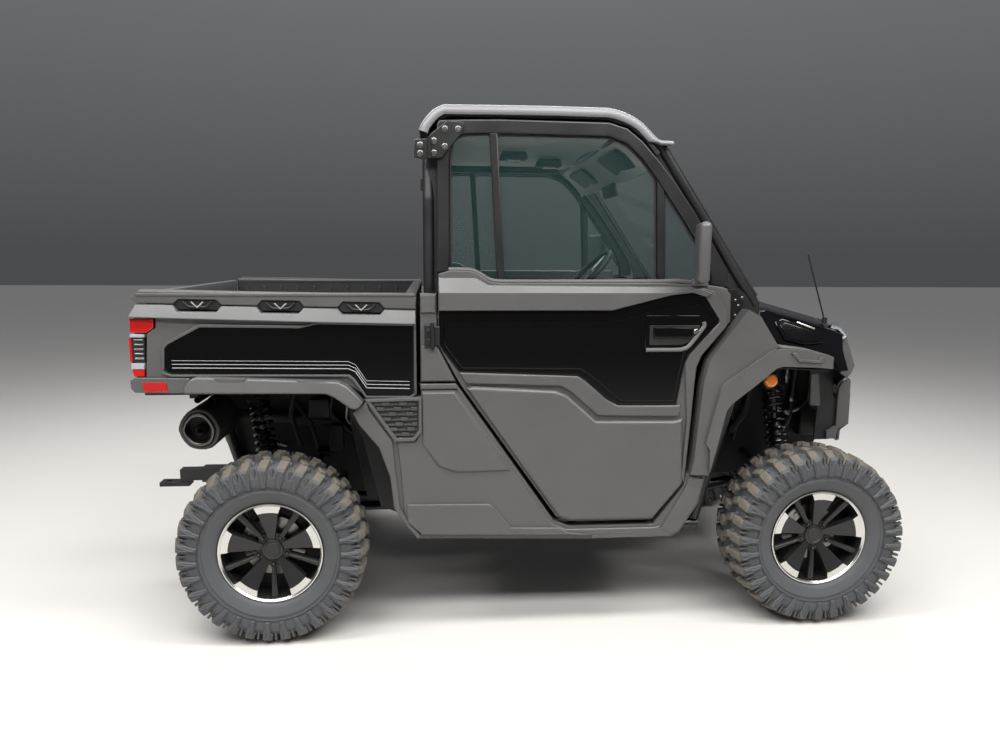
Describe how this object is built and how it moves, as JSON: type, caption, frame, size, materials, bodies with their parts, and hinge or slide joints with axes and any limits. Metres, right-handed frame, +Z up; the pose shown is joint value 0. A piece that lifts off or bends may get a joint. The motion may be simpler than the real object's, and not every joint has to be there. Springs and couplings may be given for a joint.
{
  "type": "side by side utility vehicle",
  "caption": "Enclosed-cab side by side utility vehicle with a tipping cargo bed, opening doors, hood and tailgate, steered front wheels and lugged tyres.",
  "frame": {"origin": "on the ground under the middle of the bounding box", "axes": "+X forward, +Y to the vehicle's left, +Z up"},
  "size_m": [3.0335, 1.9114, 1.921],
  "materials": {
    "tyre": "matt moulded rubber",
    "rim_black": "satin black alloy",
    "frame_black": "satin powder coat",
    "roof_grey": "satin moulded",
    "panel_grey": "satin moulded",
    "gloss_black": "gloss",
    "inner_black": "matt moulded",
    "tinted_glass": "green tint",
    "seat_cover": "coated fabric",
    "cast_grey": "cast",
    "steel_grey": "heat-dulled",
    "spring_black": "powder coat",
    "soft_black": "matt",
    "lamp_clear": "clear",
    "lamp_red": "gloss"
  },
  "bodies": {
    "chassis": {"chassis_frame": "frame_black", "roll_cage": "frame_black", "roof": "roof_grey", "windshield": "tinted_glass", "rear_window": "tinted_glass", "cab_rear_panel": "inner_black", "rear_corners": "inner_black", "floor_tub": "inner_black", "cowl": "inner_black", "dashboard": "inner_black", "seats": "seat_cover", "engine_block": "cast_grey", "muffler": "steel_grey", "hitch": "frame_black", "front_fascia": "panel_grey", "headlamps": "lamp_clear", "front_fenders": "panel_grey", "hood_sides": "gloss_black", "rocker_panels": "panel_grey", "suspension_arms": "frame_black", "coil_overs": "spring_black", "drive_axles": "cast_grey", "rear_knuckles": "cast_grey", "door_hinge_brackets": "frame_black"},
    "hood": {"hood": "gloss_black", "antenna": "soft_black"},
    "bed": {"bed_tub": "inner_black", "bed_sides": "panel_grey", "bed_inserts": "gloss_black", "tail_lamps": "lamp_red"},
    "tailgate": {"tailgate": "panel_grey"},
    "door_right": {"door_right": "panel_grey", "door_glass_right": "tinted_glass", "door_insert_right": "gloss_black", "mirror_right": "inner_black"},
    "door_left": {"door_left": "panel_grey", "door_glass_left": "tinted_glass", "door_insert_left": "gloss_black", "mirror_left": "inner_black"},
    "knuckle_right": {"knuckle_right": "cast_grey"},
    "knuckle_left": {"knuckle_left": "cast_grey"},
    "wheel_front_right": {"rim_front_right": "rim_black", "tyre_front_right": "tyre"},
    "wheel_front_left": {"rim_front_left": "rim_black", "tyre_front_left": "tyre"},
    "wheel_rear_right": {"rim_rear_right": "rim_black", "tyre_rear_right": "tyre"},
    "wheel_rear_left": {"rim_rear_left": "rim_black", "tyre_rear_left": "tyre"},
    "steering_wheel": {"steering_wheel": "soft_black"}
  },
  "joints": [
    {"name": "hood_hinge", "type": "hinge", "parent": "chassis", "child": "hood", "pos_m": [0.968, 0, 1.212], "axis": [0, -1, 0], "range_deg": [0, 50]},
    {"name": "bed_tilt", "type": "hinge", "parent": "chassis", "child": "bed", "pos_m": [-1.235, 0, 0.86], "axis": [0, -1, 0], "range_deg": [0, 45]},
    {"name": "tailgate_hinge", "type": "hinge", "parent": "bed", "child": "tailgate", "pos_m": [-1.322, 0, 0.943], "axis": [0, -1, 0], "range_deg": [0, 90]},
    {"name": "door_right_hinge", "type": "hinge", "parent": "chassis", "child": "door_right", "pos_m": [-0.285, -0.758, 1.1], "axis": [0, 0, -1], "range_deg": [0, 70]},
    {"name": "door_left_hinge", "type": "hinge", "parent": "chassis", "child": "door_left", "pos_m": [-0.285, 0.758, 1.1], "axis": [0, 0, 1], "range_deg": [0, 70]},
    {"name": "steer_right", "type": "hinge", "parent": "chassis", "child": "knuckle_right", "pos_m": [1.174, -0.56, 0.34253], "axis": [0, 0, 1], "range_deg": [-32, 32]},
    {"name": "steer_left", "type": "hinge", "parent": "chassis", "child": "knuckle_left", "pos_m": [1.174, 0.56, 0.34253], "axis": [0, 0, 1], "range_deg": [-32, 32]},
    {"name": "steering_wheel_turn", "type": "hinge", "parent": "chassis", "child": "steering_wheel", "pos_m": [0.47, 0.345, 1.305], "axis": [-0.7071, 0, 0.7071], "range_deg": [-384, 384]},
    {"name": "wheel_front_right_spin", "type": "hinge", "parent": "knuckle_right", "child": "wheel_front_right", "pos_m": [1.174, -0.674, 0.34253], "axis": [0, 1, 0], "continuous": true},
    {"name": "wheel_front_left_spin", "type": "hinge", "parent": "knuckle_left", "child": "wheel_front_left", "pos_m": [1.174, 0.674, 0.34253], "axis": [0, 1, 0], "continuous": true},
    {"name": "wheel_rear_right_spin", "type": "hinge", "parent": "chassis", "child": "wheel_rear_right", "pos_m": [-0.88, -0.674, 0.34253], "axis": [0, 1, 0], "continuous": true},
    {"name": "wheel_rear_left_spin", "type": "hinge", "parent": "chassis", "child": "wheel_rear_left", "pos_m": [-0.88, 0.674, 0.34253], "axis": [0, 1, 0], "continuous": true}
  ],
  "couplings": [
    {"joint": "steer_left", "follows": "steer_right", "ratio": 1},
    {"joint": "steering_wheel_turn", "follows": "steer_right", "ratio": 12}
  ]
}
